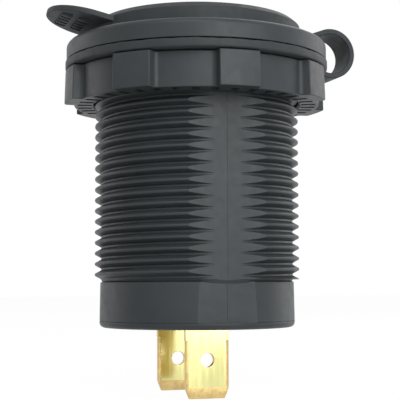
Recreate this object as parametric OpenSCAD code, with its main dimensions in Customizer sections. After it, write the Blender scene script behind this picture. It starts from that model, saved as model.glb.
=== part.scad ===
// Panel-mounted 12 volt power socket with a threaded barrel, a ring nut, a rubber cap on a strap
// and two push-on blade terminals. Millimetres.
// The origin is on the barrel's axis at the panel face, under the seal ring. +Z points out of the mouth,
// one flat of the barrel looks along -Y, the cap's pull tab along -X and its strap along +X.

/* [Barrel] */
// Diameter over the thread crests, which sets the panel hole
thread_d = 29; // [28.6:0.1:30]
// Distance from one thread turn to the next
thread_pitch = 1.5; // [1.25:0.05:2]
// Radial depth of the thread, from crest to root
thread_depth = 0.9; // [0.5:0.05:1]
// Length of the threaded stretch below the panel face
thread_len = 29.8; // [26:0.1:34]
// Depth of the front and back flats below the thread crests
flat_depth = 1; // [0.7:0.05:1.3]
// How far the top of the smooth tail lies below the thread crests, on the radius
tail_inset_top = 0.8; // [0.4:0.05:0.9]
// How far the foot of the smooth tail lies below the thread crests, on the radius
tail_inset_low = 0.7; // [0.3:0.05:0.8]
// Height of the smooth tail between the thread and the rear cover
tail_len = 5.6; // [5.4:0.1:9]
// Radial depth of the fine groove between the thread and the tail, below the thread root
relief_depth = 0.3; // [0.1:0.05:0.4]
// Height of that groove
relief_h = 0.6; // [0.3:0.05:0.8]
// How far the groove's bottom lies below its mouth, so that it dips across the flat
relief_drop = 0.35; // [0:0.05:0.5]

/* [Flange] */
// Diameter of the flange
flange_d = 37.2; // [35:0.1:40]
// Height of the flange above the seal ring
flange_h = 2.63; // [2:0.01:4]
// Radius of the flange's upper outer edge
flange_edge = 0.8; // [0.3:0.1:1.2]
// Chamfer at the mouth's edge
mouth_chamfer = 0.3; // [0.1:0.05:0.5]

/* [Seal ring] */
// How far the seal ring stands out beyond the flange, on the radius
seal_overhang = 0.15; // [0:0.05:0.4]
// Thickness of the seal ring
seal_h = 1.33; // [1:0.01:2]
// Radius on the seal ring's outer edges
seal_edge = 0.3; // [0.1:0.05:0.45]
// Gap between the barrel's neck and the seal ring's hole
seal_gap = 0.1; // [0.05:0.05:0.3]

/* [Lock nut] */
// How far the nut's raised lands stand out beyond the flange, on the radius
nut_overhang = 0.3; // [0:0.05:1]
// Height of the nut
nut_h = 4.8; // [4:0.1:7]
// Number of raised lands around the nut
land_count = 8; // [6:1:10]
// Angle that each land covers
land_angle = 17; // [12:0.5:22]
// Radial depth of the recesses between the lands
land_depth = 1.4; // [0.8:0.1:1.6]
// Angle by which each side of a land leans from its radial line
land_flare = 14; // [0:1:30]
// Radius of the fillet at the foot of each land's side
land_fillet = 0.7; // [0.2:0.05:0.75]
// How far the lands' outer faces lean in from the nut's foot to its top, on the radius
nut_draft = 0.15; // [0:0.05:0.3]
// Chamfer on the lands' upper edge
land_chamfer = 0.3; // [0.1:0.05:0.5]
// Number of radial core pockets in the nut's underside
pocket_count = 40; // [24:1:48]
// Width of each pocket
pocket_w = 1; // [0.6:0.05:1.2]
// Radial length of each pocket
pocket_len = 2; // [1:0.1:2.1]
// Depth of the pockets
pocket_depth = 3; // [1:0.1:3.2]
// Wall between the pockets and the bottom of the recesses
pocket_wall = 0.5; // [0.4:0.05:0.8]
// Gap between the nut and the seal ring
nut_gap = 0.17; // [0.1:0.01:0.6]
// Radial gap between the nut's thread and the barrel's thread
nut_thread_gap = 0.15; // [0.1:0.01:0.2]

/* [Dust cap] */
// Diameter of the cap's disc
cap_d = 29.8; // [28:0.1:32]
// Height of the cap's disc
cap_h = 3; // [2.4:0.1:4]
// Height of the bevel around the cap's top
cap_bevel_h = 0.75; // [0.3:0.05:1]
// Width of that bevel
cap_bevel_w = 0.9; // [0.3:0.05:1.5]
// Depth of the shallow dish in the cap's top
cap_dish = 0.3; // [0.1:0.05:0.6]
// Width of the rim around that dish
cap_rim_w = 1.2; // [0.8:0.1:2]
// Gap between the closed cap and the flange
cap_gap = 0.05; // [0.02:0.01:0.1]
// Gap between the lower edge of the cap's hollow plug and the sleeve's lip
plug_gap_end = 0.35; // [0.2:0.05:1]
// Wall of the hollow plug
plug_wall = 1.2; // [0.8:0.1:1.6]
// Gap between the plug's root and the mouth recess
plug_gap_top = 0.15; // [0.1:0.01:0.3]
// Gap between the plug's lower edge and the mouth recess, which lets it swing out
plug_gap_low = 0.45; // [0.4:0.01:0.7]

/* [Pull tab] */
// Distance from the axis to the tab's tip
tab_reach = 22; // [20:0.1:25]
// Width of the tab
tab_w = 12; // [9:0.1:14]
// Thickness of the tab
tab_t = 0.85; // [0.6:0.05:1.2]
// Angle at which the tab rises outward
tab_rise = 13; // [0:0.5:20]
// Number of grip bars in each row under the tab
grip_count = 5; // [3:1:7]
// Distance from one grip bar to the next in a row
grip_pitch = 1.35; // [1.2:0.05:1.6]
// Length of the grip bars, away from the cap
grip_len = 1.5; // [1:0.1:1.8]
// Width of the grip bars
grip_w = 0.7; // [0.5:0.05:0.9]
// Height of the grip bars
grip_h = 0.25; // [0.15:0.05:0.4]
// Distance from the cap's side to the first row of grip bars
grip_start = 1.6; // [1:0.1:2]
// Gap between the two rows of grip bars
grip_gap = 0.8; // [0.5:0.1:1]

/* [Strap] */
// Width of the strap
strap_w = 5.2; // [3:0.1:7]
// Thickness of the strap
strap_t = 0.8; // [0.6:0.05:1]
// Outer radius of the strap's loop
loop_r = 3.7; // [3:0.1:4.2]
// Distance from the seal ring's edge to the middle of the loop
loop_out = 1.45; // [1.2:0.05:2.5]
// Least distance between the cap's side and the loop
loop_clear = 0.3; // [0.1:0.1:1]
// How far the loop's middle lies above the midpoint of its two ends
loop_lift = 0.75; // [0.5:0.05:1.6]
// Gap at each end of the strap
strap_gap = 0.05; // [0.03:0.01:0.1]

/* [Contact sleeve] */
// Inside diameter of the contact sleeve, which takes the plug
socket_id = 21.4; // [20.9:0.1:21.6]
// Sheet thickness of the sleeve
sleeve_t = 0.5; // [0.4:0.05:0.6]
// Gap between the sleeve and the barrel
sleeve_gap = 0.05; // [0.03:0.01:0.1]
// Height of the sleeve's narrow foot above its floor
sleeve_foot_h = 4.1; // [3.8:0.1:6]
// Radial width of the step above that foot
step_w = 0.35; // [0.2:0.05:0.6]
// Width of the sleeve's lip, which sets the mouth recess
lip_w = 0.9; // [0.7:0.05:1.2]
// Height of the sleeve's lip above the panel face
lip_top = 0.2; // [0:0.05:0.25]
// Length of the spring tongues cut in the sleeve's wall
tongue_len = 7; // [5:0.5:9]
// Width of the spring tongues
tongue_w = 3.5; // [3:0.1:4.5]
// Width of the cut around each tongue
tongue_cut = 0.7; // [0.5:0.05:1]
// Depth of the tongues' upper cut below the panel face
tongue_top = 5; // [3:0.5:8]

/* [Centre contact] */
// Diameter of the insulating bush's flange
bush_d = 9.2; // [8:0.1:9.4]
// Thickness of the bush's flange
bush_t = 0.8; // [0.6:0.05:1.2]
// Diameter of the hole in the sleeve's floor that the bush fills
bush_hole_d = 6; // [5:0.1:7]
// Diameter of the centre contact
contact_d = 8; // [6:0.1:8.6]
// Sheet thickness of the centre contact
contact_t = 0.5; // [0.4:0.05:0.7]
// Height of the contact's dome above its rim
dome_h = 1; // [0.8:0.1:1.6]
// Diameter of the rivets
rivet_d = 2.4; // [2:0.1:2.8]
// Diameter of the rivets' heads
rivet_head_d = 3.8; // [3.4:0.1:4]
// Height of the rivets' heads
rivet_head_h = 0.6; // [0.4:0.05:0.7]
// Gap around the rivets and the bush
rivet_gap = 0.1; // [0.05:0.01:0.15]

/* [Terminals] */
// Width of the blades
blade_w = 6.3; // [6:0.1:6.5]
// Thickness of the blades
blade_t = 0.8; // [0.7:0.05:0.9]
// Length of the blades below the rear cover
blade_out = 9.7; // [8:0.1:12]
// Distance from the axis to the middle of the front blade
front_blade_y = 4.2; // [4:0.1:5.5]
// Distance from the axis to the middle of the back blade
back_blade_y = 9.6; // [9:0.1:9.8]
// Distance from the axis to the back blade's rivet
back_rivet_y = 6.7; // [6.6:0.05:6.9]
// Diameter of the hole in each blade
blade_hole_d = 2; // [1.6:0.1:2.2]
// Height of the front blade's hole above its tip
front_hole_up = 5.3; // [4:0.1:5.5]
// Height of the back blade's hole above its tip
back_hole_up = 4.75; // [4:0.1:5.5]
// Inner radius of the bend between foot and blade
bend_r = 0.4; // [0.3:0.05:0.6]
// Height of the bevel at the blade's tip
tip_bevel = 1.5; // [1:0.1:1.8]
// Width of the cut corners at the blade's tip
tip_corner = 0.6; // [0.4:0.05:1]
// Width of the bevels along the blade's long edges
edge_bevel = 0.5; // [0.3:0.05:0.7]
// Depth of all the blade's bevels
bevel_depth = 0.2; // [0.1:0.02:0.28]
// Length of square-edged blade between the rear cover and the long bevels
square_len = 1.75; // [1:0.05:2.5]

/* [Rear cover] */
// Thickness of the rear cover's visible edge
cover_t = 0.9; // [0.8:0.05:1.5]
// Radius on the rear cover's lower edge
cover_edge = 0.7; // [0.3:0.05:0.75]
// Height of the rear chamber between the barrel's floor and the rear cover
chamber_h = 2.8; // [2.5:0.05:4]
// Thickness of the barrel's floor under the sleeve
floor_t = 1; // [0.8:0.05:1.2]
// Wall of the barrel around the rear chamber
chamber_wall = 1.6; // [1.2:0.1:2]
// Gap around the rear cover's spigot and the blades' slots
cover_gap = 0.1; // [0.05:0.01:0.15]

/* [Hidden] */
$fn = 96;

// Small overlap that keeps cuts clean
eps = 0.02;
// Steps in each rounded edge
edge_steps = 5;
// Steps in the strap's loop and in the tab's round tip
loop_steps = 24;
// Share of a rivet head's radius that its flat crown takes
crown_share = 0.6;

// Thread form: shares of the pitch taken by the crest, by each flank and by the root
crest_share = 0.2;
flank_share = 0.32;
root_share = 1 - crest_share - 2 * flank_share;

thread_r = thread_d / 2;
root_r = thread_r - thread_depth;
flat_y = thread_r - flat_depth;
tail_top_r = thread_r - tail_inset_top;
tail_low_r = thread_r - tail_inset_low;
tail_z = -thread_len;
cover_z = tail_z - tail_len;
base_z = cover_z - cover_t;
tip_z = base_z - blade_out;

flange_r = flange_d / 2;
flange_top = seal_h + flange_h;
seal_r = flange_r + seal_overhang;
neck_r = thread_r - seal_gap;

sleeve_r = socket_id / 2;
sleeve_out_r = sleeve_r + sleeve_t;
bore_r = sleeve_out_r + sleeve_gap;
lip_r = sleeve_r + lip_w;
mouth_r = lip_r + sleeve_gap;
lip_z = lip_top - sleeve_t;
foot_z = cover_z + chamber_h;
floor_z = foot_z + floor_t;
sleeve_floor = floor_z + sleeve_t;
step_z = sleeve_floor + sleeve_foot_h;
chamber_r = tail_low_r - chamber_wall;
rivet_r = rivet_d / 2;
rivet_low_z = foot_z - blade_t - rivet_head_h;
spigot_top = rivet_low_z - cover_gap;
contact_z = sleeve_floor + bush_t;

nut_top = -nut_gap;
nut_low = nut_top - nut_h;
nut_r = flange_r + nut_overhang;
recess_r = nut_r - land_depth;
pocket_r = recess_r - pocket_wall;

cap_r = cap_d / 2;
cap_z = flange_top + cap_gap;
cap_top = cap_z + cap_h;
cap_side_h = cap_h - cap_bevel_h;

// The strap runs from the middle of the seal ring's edge to the middle of the cap's side
strap_low_z = seal_h / 2;
strap_high_z = cap_z + cap_side_h / 2;
loop_x = max(seal_r + loop_out, cap_r + loop_r + loop_clear);
loop_z = (strap_low_z + strap_high_z) / 2 + loop_lift;

// Points of an arc around a centre, from one angle to another
function arc(c, r, a0, a1, steps) =
    [for (i = [0:steps]) let (a = a0 + (a1 - a0) * i / steps) c + r * [cos(a), sin(a)]];

// Radius and height pairs of the thread, from its top down, where r is the root radius
function thread_points(r, top, low) =
    let (turns = ceil((top - low) / thread_pitch))
    [for (i = [0:turns - 1], step = thread_steps(r)) [step[0], top - (i + step[1]) * thread_pitch]];

function thread_steps(r) = [
    [r, root_share / 2],
    [r + thread_depth, root_share / 2 + flank_share],
    [r + thread_depth, root_share / 2 + flank_share + crest_share],
    [r, 1 - root_share / 2]
];

// A disc or ring turned from a half section
module turned(points) {
    rotate_extrude() polygon(points);
}

// A flat outline drawn in X and Z and given a width along Y
module across(width) {
    rotate([90, 0, 0]) linear_extrude(height = width, center = true) children();
}

// A flat outline drawn in Y and Z and given a width along X
module along(width) {
    rotate([90, 0, 90]) linear_extrude(height = width, center = true) children();
}

// Socket body: flange, threaded barrel with two flats, smooth tail, mouth recess and rear chamber

module flange_disc() {
    turned(concat(
        [[0, seal_h], [flange_r, seal_h]],
        arc([flange_r - flange_edge, flange_top - flange_edge], flange_edge, 0, 90, edge_steps),
        [[0, flange_top]]
    ));
}

module barrel_thread() {
    intersection() {
        turned(concat(
            [[0, seal_h], [neck_r, seal_h], [neck_r, 0], [root_r, 0]],
            thread_points(root_r, 0, tail_z),
            [[0, tail_z - thread_pitch]]
        ));
        translate([0, 0, tail_z]) cylinder(h = thread_len + seal_h, r = thread_r);
    }
}

module barrel_tail() {
    translate([0, 0, cover_z]) cylinder(h = tail_len, r1 = tail_low_r, r2 = tail_top_r);
}

module barrel_flats() {
    for (side = [-1, 1])
        translate([-thread_r, side > 0 ? flat_y : -flat_y - thread_r, cover_z - eps])
            cube([thread_d, thread_r, -cover_z + eps]);
}

module relief_groove() {
    turned([
        [root_r - relief_depth, tail_z - relief_drop],
        [thread_r, tail_z - relief_h / 2],
        [thread_r, tail_z + relief_h / 2]
    ]);
}

module body_hollow() {
    // Mouth recess with its chamfer
    translate([0, 0, lip_z]) cylinder(h = flange_top - lip_z + eps, r = mouth_r);
    translate([0, 0, flange_top - mouth_chamfer])
        cylinder(h = mouth_chamfer + eps, r1 = mouth_r, r2 = mouth_r + mouth_chamfer + eps);
    // Bore for the sleeve
    translate([0, 0, floor_z]) cylinder(h = lip_z - floor_z + eps, r = bore_r);
    // Rear chamber for the terminals' feet
    translate([0, 0, cover_z - eps]) cylinder(h = foot_z - cover_z + eps, r = chamber_r);
    // Rivet holes through the floor
    for (y = [0, back_rivet_y])
        translate([0, y, foot_z - eps]) cylinder(h = floor_t + 2 * eps, r = rivet_r + rivet_gap);
}

module socket_body() {
    color([0.24, 0.25, 0.26])
    difference() {
        union() {
            flange_disc();
            barrel_thread();
            barrel_tail();
        }
        barrel_flats();
        relief_groove();
        body_hollow();
    }
}

// Lock nut: a threaded ring with raised lands outside and radial pockets underneath

module nut_core() {
    translate([0, 0, nut_low]) cylinder(h = nut_h, r = recess_r);
}

module nut_lands() {
    intersection() {
        turned([
            [0, nut_low],
            [nut_r, nut_low],
            [nut_r - nut_draft, nut_top - land_chamfer],
            [nut_r - nut_draft - land_chamfer, nut_top],
            [0, nut_top]
        ]);
        for (i = [0:land_count - 1])
            rotate(i * 360 / land_count - 90)
                translate([0, 0, nut_low]) linear_extrude(height = nut_h) land_outline();
    }
}

// Half of a land's plan, from its outer corner down its side and through the fillet to the recess.
// The fillet's centre lies one fillet radius off the side and off the round floor of the recess.
function land_side() =
    let (
        normal = [sin(land_flare), cos(land_flare)],
        corner = nut_r * [cos(land_angle / 2), sin(land_angle / 2)],
        off_side = normal * corner + land_fillet,
        off_axis = recess_r + land_fillet,
        reach = sqrt(off_axis * off_axis - off_side * off_side),
        middle = off_side * normal + reach * [normal[1], -normal[0]]
    )
    concat(
        [[nut_r + eps, corner[1]]],
        arc(middle, land_fillet, 270 - land_flare, 180 + atan2(middle[1], middle[0]), edge_steps)
    );

// A land's plan: it narrows outward, as a moulded rib does
module land_outline() {
    upper = land_side();
    lower = [for (i = [len(upper) - 1:-1:0]) [upper[i][0], -upper[i][1]]];
    polygon(concat([[0, 0]], lower, upper));
}

module nut_pockets() {
    for (i = [0:pocket_count - 1])
        rotate(i * 360 / pocket_count)
            translate([pocket_r - pocket_len, -pocket_w / 2, nut_low - eps])
                cube([pocket_len, pocket_w, pocket_depth + eps]);
}

// The thread inside the nut matches the barrel's, one gap further out
module nut_bore() {
    turned(concat(
        [[0, thread_pitch], [root_r + nut_thread_gap, thread_pitch]],
        thread_points(root_r + nut_thread_gap, 0, nut_low - thread_pitch),
        [[0, nut_low - 2 * thread_pitch]]
    ));
}

module lock_nut() {
    color([0.22, 0.23, 0.24])
    difference() {
        union() {
            nut_core();
            nut_lands();
        }
        nut_bore();
        nut_pockets();
    }
}

// Seal ring under the flange, with rounded outer edges
module seal_ring() {
    color([0.2, 0.21, 0.22])
    turned(concat(
        [[thread_r, seal_h], [thread_r, 0]],
        arc([seal_r - seal_edge, seal_edge], seal_edge, -90, 0, edge_steps),
        arc([seal_r - seal_edge, seal_h - seal_edge], seal_edge, 0, 90, edge_steps)
    ));
}

// Dust cap: disc with a bevelled rim and a dished top, hollow plug and pull tab

module cap_disc() {
    rim_r = cap_r - cap_bevel_w - cap_rim_w;
    turned([
        [0, cap_z],
        [cap_r, cap_z],
        [cap_r, cap_z + cap_side_h],
        [cap_r - cap_bevel_w, cap_top],
        [rim_r, cap_top],
        [rim_r - cap_dish, cap_top - cap_dish],
        [0, cap_top - cap_dish]
    ]);
}

module cap_plug() {
    low = lip_top + plug_gap_end;
    top_r = mouth_r - plug_gap_top;
    low_r = mouth_r - plug_gap_low;
    turned([
        [low_r - plug_wall, low],
        [low_r, low],
        [top_r, cap_z + eps],
        [low_r - plug_wall, cap_z + eps]
    ]);
}

// The tab's plan: a root as wide as the tab and a round tip
module tab_outline() {
    tip_r = tab_w / 2;
    polygon(concat(
        [[0, -tip_r]],
        arc([tab_reach - tip_r, 0], tip_r, -90, 90, loop_steps),
        [[0, tip_r]]
    ));
}

// Two rows of short bars under the tab, kept within its outline
module grip_bars() {
    row_w = (grip_count - 1) * grip_pitch;
    intersection() {
        for (row = [0, 1], i = [0:grip_count - 1])
            translate([cap_r + grip_start + row * (grip_len + grip_gap),
                       i * grip_pitch - row_w / 2 - grip_w / 2, -grip_h])
                cube([grip_len, grip_w, grip_h + eps]);
        translate([0, 0, -grip_h]) linear_extrude(height = grip_h + 2 * eps) tab_outline();
    }
}

module pull_tab() {
    tab_root = cap_r - tab_t;
    translate([0, 0, cap_z + cap_side_h - tab_t])
        mirror([1, 0, 0])
            translate([tab_root, 0, 0]) rotate([0, -tab_rise, 0]) translate([-tab_root, 0, 0]) {
                intersection() {
                    linear_extrude(height = tab_t) tab_outline();
                    translate([tab_root, -tab_w, 0]) cube([tab_reach, 2 * tab_w, tab_t]);
                }
                grip_bars();
            }
}

module dust_cap() {
    color([0.23, 0.24, 0.25])
    union() {
        cap_disc();
        cap_plug();
        pull_tab();
    }
}

// Strap: a loop whose two legs run as tangents to the seal ring's edge and to the cap's side

function tangent_angle(from, r, turn) =
    let (d = from - [loop_x, loop_z])
    atan2(d[1], d[0]) + turn * acos(r / norm(d));

module cap_strap() {
    middle = [loop_x, loop_z];
    mid_r = loop_r - strap_t / 2;
    low_end = [seal_r, strap_low_z];
    high_end = [cap_r, strap_high_z];
    a_low = tangent_angle(low_end, mid_r, 1);
    a_high = tangent_angle(high_end, mid_r, -1);
    low_turn = [cos(a_low), sin(a_low)] * strap_t / 2;
    high_turn = [cos(a_high), sin(a_high)] * strap_t / 2;
    low_a = a_low > 0 ? a_low - 360 : a_low;
    high_a = a_high < 0 ? a_high + 360 : a_high;
    color([0.21, 0.22, 0.23])
    difference() {
        across(strap_w)
            polygon(concat(
                [low_end + low_turn - [strap_t, 0]],
                arc(middle, loop_r, low_a, high_a, loop_steps),
                [high_end + high_turn - [strap_t, 0], high_end - high_turn - [strap_t, 0]],
                arc(middle, loop_r - strap_t, high_a, low_a, loop_steps),
                [low_end - low_turn - [strap_t, 0]]
            ));
        translate([0, 0, -strap_t]) cylinder(h = seal_h + 2 * strap_t, r = seal_r + strap_gap);
        translate([0, 0, cap_z - strap_t]) cylinder(h = cap_h + 2 * strap_t, r = cap_r + strap_gap);
    }
}

// Contact sleeve: a drawn can with a lip and a stepped foot, two spring tongues, and holes
// for the bush and the rivet

module tongue_cuts() {
    half = tongue_w / 2;
    top = -tongue_top;
    for (side = [0, 180])
        rotate(side) {
            translate([0, -half - tongue_cut, top - tongue_cut])
                cube([sleeve_out_r + eps, tongue_w + 2 * tongue_cut, tongue_cut]);
            for (y = [-half - tongue_cut, half])
                translate([0, y, top - tongue_len]) cube([sleeve_out_r + eps, tongue_cut, tongue_len]);
        }
}

module contact_sleeve() {
    color([0.78, 0.77, 0.72])
    difference() {
        turned([
            [0, floor_z],
            [sleeve_out_r - step_w, floor_z],
            [sleeve_out_r - step_w, step_z - sleeve_t],
            [sleeve_out_r, step_z - sleeve_t],
            [sleeve_out_r, lip_z],
            [lip_r, lip_z],
            [lip_r, lip_top],
            [sleeve_r, lip_top],
            [sleeve_r, step_z],
            [sleeve_r - step_w, step_z],
            [sleeve_r - step_w, sleeve_floor],
            [0, sleeve_floor]
        ]);
        translate([0, 0, floor_z - eps]) cylinder(h = sleeve_t + 2 * eps, d = bush_hole_d);
        translate([0, back_rivet_y, floor_z - eps])
            cylinder(h = sleeve_t + 2 * eps, r = rivet_r + rivet_gap);
        tongue_cuts();
    }
}

// Insulating bush that keeps the centre contact off the sleeve's floor
module insulator_bush() {
    hole_r = rivet_r + rivet_gap;
    color([0.85, 0.83, 0.75])
    turned([
        [hole_r, floor_z],
        [bush_hole_d / 2 - rivet_gap, floor_z],
        [bush_hole_d / 2 - rivet_gap, sleeve_floor],
        [bush_d / 2, sleeve_floor],
        [bush_d / 2, contact_z],
        [hole_r, contact_z]
    ]);
}

// Centre contact: a domed disc with a flat crown for the rivet's head
module centre_contact() {
    hole_r = rivet_r + rivet_gap;
    crown_r = rivet_head_d / 2 + rivet_gap;
    color([0.85, 0.68, 0.32])
    turned([
        [hole_r, contact_z + dome_h],
        [crown_r - contact_t, contact_z + dome_h],
        [contact_d / 2 - contact_t, contact_z],
        [contact_d / 2, contact_z],
        [contact_d / 2, contact_z + contact_t],
        [crown_r, contact_z + dome_h + contact_t],
        [hole_r, contact_z + dome_h + contact_t]
    ]);
}

// A rivet with a low domed head at each end, between two heights
module rivet(head_z, tail_z) {
    head_r = rivet_head_d / 2;
    crown_r = head_r * crown_share;
    turned([
        [0, tail_z - rivet_head_h],
        [crown_r, tail_z - rivet_head_h],
        [head_r, tail_z - rivet_head_h / 2],
        [head_r, tail_z],
        [rivet_r, tail_z],
        [rivet_r, head_z],
        [head_r, head_z],
        [head_r, head_z + rivet_head_h / 2],
        [crown_r, head_z + rivet_head_h],
        [0, head_z + rivet_head_h]
    ]);
}

module centre_rivet() {
    color([0.8, 0.66, 0.36]) rivet(contact_z + dome_h + contact_t, foot_z - blade_t);
}

module back_rivet() {
    color([0.8, 0.66, 0.36])
    translate([0, back_rivet_y, 0]) rivet(sleeve_floor, foot_z - blade_t);
}

// Blade terminals: a foot under the barrel's floor, a bend, and a bevelled blade with a hole

// Section of the strip in Y and Z, from the foot's free end to the blade's tip
module strip_section(foot_end, blade_y) {
    outer = abs(blade_y - foot_end) + blade_t / 2;
    outer_r = bend_r + blade_t;
    bend = [outer - outer_r, foot_z - outer_r];
    translate([foot_end, 0]) mirror([blade_y < foot_end ? 1 : 0, 0])
        polygon(concat(
            [[0, foot_z]],
            arc(bend, outer_r, 90, 0, edge_steps),
            [[outer, tip_z], [outer - blade_t, tip_z]],
            arc(bend, bend_r, 0, 90, edge_steps),
            [[0, foot_z - blade_t]]
        ));
}

// Outline of the strip in X and Z, with the cut corners at the tip
module strip_outline() {
    half = blade_w / 2;
    polygon([
        [-half, foot_z], [-half, tip_z + tip_bevel], [-half + tip_corner, tip_z],
        [half - tip_corner, tip_z], [half, tip_z + tip_bevel], [half, foot_z]
    ]);
}

// What the bevels take off one face of the blade, which looks along -Y at y = 0
module face_bevels() {
    half = blade_w / 2;
    bevel_top = base_z - square_len;
    along(blade_w + 2 * eps)
        polygon([[-eps, tip_z - eps], [bevel_depth, tip_z - eps], [bevel_depth, tip_z],
                 [0, tip_z + tip_bevel], [-eps, tip_z + tip_bevel]]);
    for (side = [-1, 1])
        translate([0, 0, tip_z - eps]) linear_extrude(height = bevel_top - tip_z + eps)
            polygon([[side * (half - edge_bevel), -eps], [side * (half - edge_bevel), 0],
                     [side * half, bevel_depth], [side * (half + eps), bevel_depth],
                     [side * (half + eps), -eps]]);
}

module terminal(foot_end, blade_y, rivet_y, hole_up) {
    difference() {
        intersection() {
            along(blade_w) strip_section(foot_end, blade_y);
            translate([0, (foot_end + blade_y) / 2, 0])
                across(abs(foot_end - blade_y) + 2 * blade_t) strip_outline();
        }
        for (face = [-1, 1])
            translate([0, blade_y + face * blade_t / 2, 0])
                mirror([0, face > 0 ? 1 : 0, 0]) face_bevels();
        translate([0, blade_y, tip_z + hole_up]) rotate([90, 0, 0])
            cylinder(h = 2 * blade_t, d = blade_hole_d, center = true);
        translate([0, rivet_y, foot_z - 2 * blade_t])
            cylinder(h = 3 * blade_t, r = rivet_r + rivet_gap);
    }
}

module front_terminal() {
    color([0.86, 0.72, 0.3])
    terminal(rivet_head_d / 2 + rivet_gap, -front_blade_y, 0, front_hole_up);
}

module back_terminal() {
    color([0.82, 0.66, 0.28])
    terminal(back_rivet_y - rivet_head_d / 2 - rivet_gap, back_blade_y, back_rivet_y, back_hole_up);
}

// Rear cover: a thin disc with a rounded edge, a spigot in the chamber and a slot for each blade
module rear_cover() {
    slot_w = blade_w + 2 * cover_gap;
    slot_t = blade_t + 2 * cover_gap;
    spigot_r = chamber_r - cover_gap;
    color([0.22, 0.23, 0.24])
    difference() {
        turned(concat(
            [[0, base_z]],
            arc([tail_low_r - cover_edge, base_z + cover_edge], cover_edge, -90, 0, edge_steps),
            [[tail_low_r, cover_z], [spigot_r, cover_z], [spigot_r, spigot_top], [0, spigot_top]]
        ));
        for (y = [-front_blade_y, back_blade_y])
            translate([-slot_w / 2, y - slot_t / 2, base_z - eps])
                cube([slot_w, slot_t, spigot_top - base_z + 2 * eps]);
    }
}

socket_body();
lock_nut();
seal_ring();
dust_cap();
cap_strap();
contact_sleeve();
insulator_bush();
centre_contact();
centre_rivet();
back_rivet();
front_terminal();
back_terminal();
rear_cover();
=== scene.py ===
"""Panel-mounted 12 volt power socket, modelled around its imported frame.

Every piece is drawn as an outline on a primitive, turned or extruded, and cut with booleans; only
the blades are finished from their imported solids. Lengths are in metres, the barrel's axis is Z and
the panel face is at z = 0.
"""

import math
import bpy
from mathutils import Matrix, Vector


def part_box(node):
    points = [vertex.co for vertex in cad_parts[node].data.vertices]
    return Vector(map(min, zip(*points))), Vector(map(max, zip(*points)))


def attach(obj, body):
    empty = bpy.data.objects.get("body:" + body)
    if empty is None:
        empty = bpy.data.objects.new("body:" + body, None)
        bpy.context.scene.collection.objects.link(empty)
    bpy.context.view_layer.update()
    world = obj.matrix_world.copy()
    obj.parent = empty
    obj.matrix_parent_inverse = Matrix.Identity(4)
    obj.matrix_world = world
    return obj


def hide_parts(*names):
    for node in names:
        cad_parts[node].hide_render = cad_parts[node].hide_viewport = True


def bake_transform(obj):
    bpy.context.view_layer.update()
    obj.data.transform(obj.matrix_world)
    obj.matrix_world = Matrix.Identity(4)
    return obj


bl_info = {
    "name": "12 Volt Power Socket",
    "version": (1, 0, 0),
    "blender": (4, 5, 0),
    "location": "View3D > Sidebar > Power Socket",
    "description": "Models a panel-mounted 12 volt power socket with its cap, ring nut and blades",
    "category": "Object",
}

import bpy
from mathutils import Matrix, Vector

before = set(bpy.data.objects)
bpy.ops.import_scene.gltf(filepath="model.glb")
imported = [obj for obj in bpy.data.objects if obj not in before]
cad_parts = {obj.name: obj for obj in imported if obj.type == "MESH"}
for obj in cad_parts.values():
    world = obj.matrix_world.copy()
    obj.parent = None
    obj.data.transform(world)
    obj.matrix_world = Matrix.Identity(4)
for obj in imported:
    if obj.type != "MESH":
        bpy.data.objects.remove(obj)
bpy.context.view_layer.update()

MM = 0.001
MERGE = 0.001 * MM  # points closer than this are one
REACH = 60 * MM  # longer than the socket
PAST = 1 * MM  # how far a cutter runs past the face that it opens

# Places that the frame gives: radii from the boxes' far sides, heights from their tops and feet
BODY_LOW, BODY_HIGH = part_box("socket_body")
NUT_LOW, NUT_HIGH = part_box("lock_nut")
SEAL_LOW, SEAL_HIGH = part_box("seal_ring")
CAP_LOW, CAP_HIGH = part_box("dust_cap")
STRAP_LOW, STRAP_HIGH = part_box("cap_strap")
SLEEVE_LOW, SLEEVE_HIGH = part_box("contact_sleeve")
BUSH_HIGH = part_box("insulator_bush")[1]
CONTACT_LOW, CONTACT_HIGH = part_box("centre_contact")
COVER_LOW, COVER_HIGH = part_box("rear_cover")
FRONT_LOW, FRONT_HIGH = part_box("front_terminal")
BACK_LOW, BACK_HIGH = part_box("back_terminal")
RIVET_LOW, RIVET_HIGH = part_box("centre_rivet")
SIDE_RIVET_LOW, SIDE_RIVET_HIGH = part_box("back_rivet")
SIDE_RIVET_Y = (SIDE_RIVET_LOW.y + SIDE_RIVET_HIGH.y) / 2


def length(name, description, millimetres):
    """A length that a user may change, given here in millimetres."""
    return bpy.props.FloatProperty(
        name=name, description=description, default=millimetres * MM, unit="LENGTH", precision=5)


def angle(name, description, degrees):
    """An angle that a user may change, given here in degrees."""
    return bpy.props.FloatProperty(
        name=name, description=description, default=math.radians(degrees), unit="ROTATION")


def colour(name, description, red, green, blue):
    """A colour that a user may change."""
    return bpy.props.FloatVectorProperty(
        name=name, description=description, default=(red, green, blue), size=3, subtype="COLOR",
        min=0.0, max=1.0)


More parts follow.
